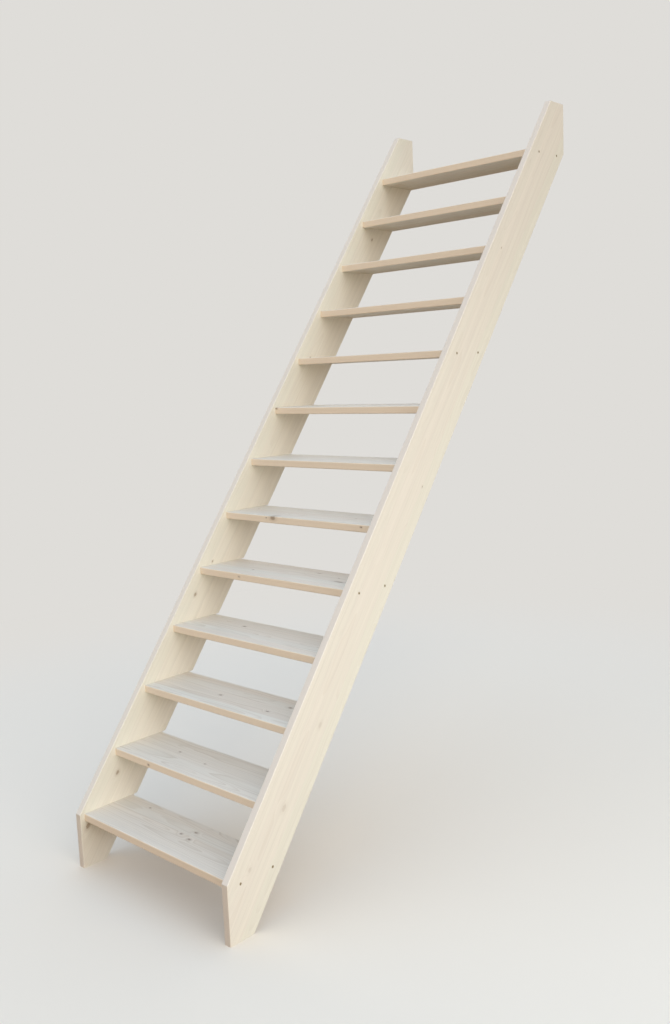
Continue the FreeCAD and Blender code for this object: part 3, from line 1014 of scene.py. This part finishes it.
@dataclass
class TreadScrews:
    """Countersunk screws that hold every fourth tread, in pairs through both stringers.

    Attributes:
        every: Each pair is this many treads above the last.
        from_front: Distance from a tread's front to its first screw.
        from_back: Distance from a tread's back to its second screw.
        head: Diameter of the head.
        shank: Diameter of the shank.
        length: Length with the head.
        tip: Length of the point.
        recess: Diameter of the lobed driver recess.
        recess_depth: Depth of the recess.
        lobes: How many lobes the recess has.
        lobe_depth: How far they swell, as a share of the recess's radius.
        sunk: How far the head lies below the stringer's face.
        around: Sides of the round parts.
        weld: Points nearer than this are one.
        seed: Sets how far each screw was turned when it was tight.
        finish: Their metal.
    """

    every: int = 4
    from_front: float = 35 * MM
    from_back: float = 38 * MM
    head: float = 9.6 * MM
    shank: float = 4.8 * MM
    length: float = 60 * MM
    tip: float = 7 * MM
    recess: float = 4.6 * MM
    recess_depth: float = 2.4 * MM
    lobes: int = 6
    lobe_depth: float = 0.14
    sunk: float = 0.2 * MM
    around: int = 36
    weld: float = 0.001 * MM
    seed: int = 5
    finish: ZincPlatedSteel = ZincPlatedSteel()

    def screw_tree(self) -> bpy.types.NodeTree:
        """Make the node tree for one side's screws.

        Returns:
            The tree. Its inputs are the screw's sizes and the rows' places.
        """
        sizes = ("Head", "Shank", "Length", "Tip", "Recess", "Recess Depth")
        takes = {"Geometry": "Geometry"}
        takes |= {name: "Float" for name in sizes}
        takes |= {"First": "Vector", "Partner": "Vector", "Step": "Vector", "Turn": "Rotation"}
        takes |= {"Rows": "Int", "Seed": "Int", "Finish": "Material"}
        tree, given, out = add_group("tread_screws", "GeometryNodeTree", takes, {"Geometry": "Geometry"})
        screw = self.turn_screw(tree, given)
        places = add_node(tree, "GeometryNodeJoinGeometry")
        for start in ("First", "Partner"):
            feeds = {"Count": given.outputs["Rows"], "Offset": given.outputs["Step"]}
            feeds["Start Location"] = given.outputs[start]
            row = add_node(tree, "GeometryNodeMeshLine", feeds)
            tree.links.new(row.outputs[0], places.inputs[0])
        least, most = (0.0, 0.0, 0.0), (0.0, 0.0, math.tau / self.lobes)
        feeds = {"Min": least, "Max": most, "Seed": given.outputs["Seed"]}
        spin = add_node(tree, "FunctionNodeRandomValue", feeds, data_type="FLOAT_VECTOR")
        driven = add_node(tree, "FunctionNodeEulerToRotation", {0: spin.outputs[0]})
        feeds = {0: given.outputs["Turn"], 1: driven}
        facing = add_node(tree, "FunctionNodeRotateRotation", feeds, rotation_space="LOCAL")
        feeds = {"Points": places, "Instance": screw, "Rotation": facing}
        placed = add_node(tree, "GeometryNodeInstanceOnPoints", feeds)
        real = add_node(tree, "GeometryNodeRealizeInstances", {0: placed})
        feeds = {"Geometry": real, "Material": given.outputs["Finish"]}
        finished = add_node(tree, "GeometryNodeSetMaterial", feeds)
        tree.links.new(finished.outputs[0], out.inputs[0])
        return tree

    def turn_screw(self, tree: bpy.types.NodeTree, given: bpy.types.Node) -> bpy.types.Node:
        """Add the nodes that make one screw, head up, from stations down its axis.

        A grid has a row of points for each station and a column for each step round the axis. Each
        point then moves to its station's radius and depth, and the seam and both poles are merged.

        Args:
            tree: The screws' node tree.
            given: Its input node.

        Returns:
            A node whose output is the screw.
        """
        half = {}
        for name in ("Head", "Shank", "Recess"):
            feeds = {0: given.outputs[name], 1: 0.5}
            half[name] = add_node(tree, "ShaderNodeMath", feeds, operation="MULTIPLY")
        feeds = {0: half["Shank"], 1: half["Head"]}
        cone = add_node(tree, "ShaderNodeMath", feeds, operation="SUBTRACT")
        feeds = {0: given.outputs["Recess Depth"], 1: -1.0}
        floor = add_node(tree, "ShaderNodeMath", feeds, operation="MULTIPLY")
        feeds = {0: given.outputs["Length"], 1: -1.0}
        end = add_node(tree, "ShaderNodeMath", feeds, operation="MULTIPLY")
        taper = add_node(tree, "ShaderNodeMath", {0: end, 1: given.outputs["Tip"]}, operation="ADD")
        # Radius, height and depth of lobes of each station, from the recess's floor to the point.
        stations = (
            (0.0, floor, 0.0),
            (half["Recess"], floor, 1.0),
            (half["Recess"], 0.0, 1.0),
            (half["Head"], 0.0, 0.0),
            (half["Shank"], cone, 0.0),
            (half["Shank"], taper, 0.0),
            (0.0, end, 0.0),
        )
        points = self.around + 1
        feeds = {"Vertices X": len(stations), "Vertices Y": points}
        grid = add_node(tree, "GeometryNodeMeshGrid", feeds)
        index = add_node(tree, "GeometryNodeInputIndex")
        feeds = {0: index, 1: float(points)}
        rows = add_node(tree, "ShaderNodeMath", feeds, operation="DIVIDE")
        station = add_node(tree, "ShaderNodeMath", {0: rows}, operation="FLOOR")
        column = add_node(tree, "ShaderNodeMath", feeds, operation="FLOORED_MODULO")
        feeds = {0: column, 1: math.tau / self.around}
        angle = add_node(tree, "ShaderNodeMath", feeds, operation="MULTIPLY")
        choices = []
        for values in zip(*stations):
            choice = add_node(tree, "GeometryNodeIndexSwitch", {0: station}, data_type="FLOAT")
            while len(choice.index_switch_items) < len(stations):
                choice.index_switch_items.new()
            for number, value in enumerate(values, start=1):
                if isinstance(value, bpy.types.Node):
                    tree.links.new(value.outputs[0], choice.inputs[number])
                else:
                    choice.inputs[number].default_value = value
            choices.append(choice)
        radius, height, lobed = choices
        feeds = {0: angle, 1: float(self.lobes)}
        lobe_angle = add_node(tree, "ShaderNodeMath", feeds, operation="MULTIPLY")
        lobe_wave = add_node(tree, "ShaderNodeMath", {0: lobe_angle}, operation="COSINE")
        feeds = {0: lobed, 1: self.lobe_depth}
        lobe_depth = add_node(tree, "ShaderNodeMath", feeds, operation="MULTIPLY")
        feeds = {0: lobe_wave, 1: lobe_depth, 2: 1.0}
        swell = add_node(tree, "ShaderNodeMath", feeds, operation="MULTIPLY_ADD")
        reach = add_node(tree, "ShaderNodeMath", {0: radius, 1: swell}, operation="MULTIPLY")
        sides = []
        for turn in ("COSINE", "SINE"):
            part = add_node(tree, "ShaderNodeMath", {0: angle}, operation=turn)
            sides.append(add_node(tree, "ShaderNodeMath", {0: reach, 1: part}, operation="MULTIPLY"))
        place = add_node(tree, "ShaderNodeCombineXYZ", {0: sides[0], 1: sides[1], 2: height})
        moved = add_node(tree, "GeometryNodeSetPosition", {"Geometry": grid, "Position": place})
        feeds = {"Geometry": moved, "Distance": self.weld}
        return add_node(tree, "GeometryNodeMergeByDistance", feeds)

    def build(self, step: Vector, treads: int) -> list[bpy.types.Object]:
        """Make both sides' screws.

        Args:
            step: From one tread to the next.
            treads: How many treads the stair has.

        Returns:
            One object for each side.
        """
        tree = self.screw_tree()
        material = self.finish.material()
        low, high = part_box("tread_01")
        middle = (low.z + high.z) / 2
        built = []
        for side in Side:
            name = f"tread_screws_{side.name.lower()}"
            left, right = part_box(f"stringer_{side.name.lower()}")
            outer = left.x + self.sunk if side is Side.LEFT else right.x - self.sunk
            values = {
                "Head": self.head,
                "Shank": self.shank,
                "Length": self.length,
                "Tip": self.tip,
                "Recess": self.recess,
                "Recess Depth": self.recess_depth,
                "First": (outer, low.y + self.from_front, middle),
                "Partner": (outer, high.y - self.from_back, middle),
                "Step": step * self.every,
                "Turn": (0.0, side.value * math.pi / 2, 0.0),
                "Rows": (treads - 1) // self.every + 1,
                "Seed": self.seed + side.value,
                "Finish": material,
            }
            built.append(self.make_plain(name, tree, values))
        return built

    @staticmethod
    def make_plain(name: str, tree: bpy.types.NodeTree, values: dict) -> bpy.types.Object:
        """Run a node tree once and keep what it makes as a plain mesh.

        Args:
            name: Name of the new object.
            tree: Geometry node tree to run.
            values: Value of each named input.

        Returns:
            The object, with no modifier left on it.
        """
        empty = bpy.data.meshes.new(f"{name}_start")
        piece = bpy.data.objects.new(name, empty)
        bpy.context.scene.collection.objects.link(piece)
        modifier = piece.modifiers.new("tree", "NODES")
        modifier.node_group = tree
        for item in tree.interface.items_tree:
            if item.in_out == "INPUT" and item.name in values:
                modifier[item.identifier] = values[item.name]
        evaluated = piece.evaluated_get(bpy.context.evaluated_depsgraph_get())
        plain = bpy.data.meshes.new_from_object(evaluated)
        piece.modifiers.remove(modifier)
        plain.name = name
        piece.data = plain
        return piece


def main() -> None:
    """Load the frame, dress it, and put it in its studio."""
    logging.basicConfig(level=logging.INFO, format="%(message)s")
    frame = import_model()
    cad_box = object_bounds()
    bpy.context.scene.view_settings.view_transform = "Standard"
    camera = PhotoCamera().place()
    low, high = cad_box
    studio = Studio()
    studio.build(Vector(((low.x + high.x) / 2, (low.y + high.y) / 2, 0.0)))
    LOG.info("placed %s, %d lamps and a panel", camera.name, len(studio.lamps))

    treads = Treads()
    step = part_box("tread_02")[0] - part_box("tread_01")[0]
    knot = SpruceKnots().group()
    boards = Stringers().dress(frame, step.normalized(), knot) + treads.dress(frame, knot)
    for board in boards:
        LOG.info("dressed %s with %d knots", board.node, len(board.knots))
    for screws in TreadScrews().build(step, treads.count):
        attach(screws, "root")
        LOG.info("built %s with %d faces", screws.name, len(screws.data.polygons))


if __name__ == "__main__":
    main()
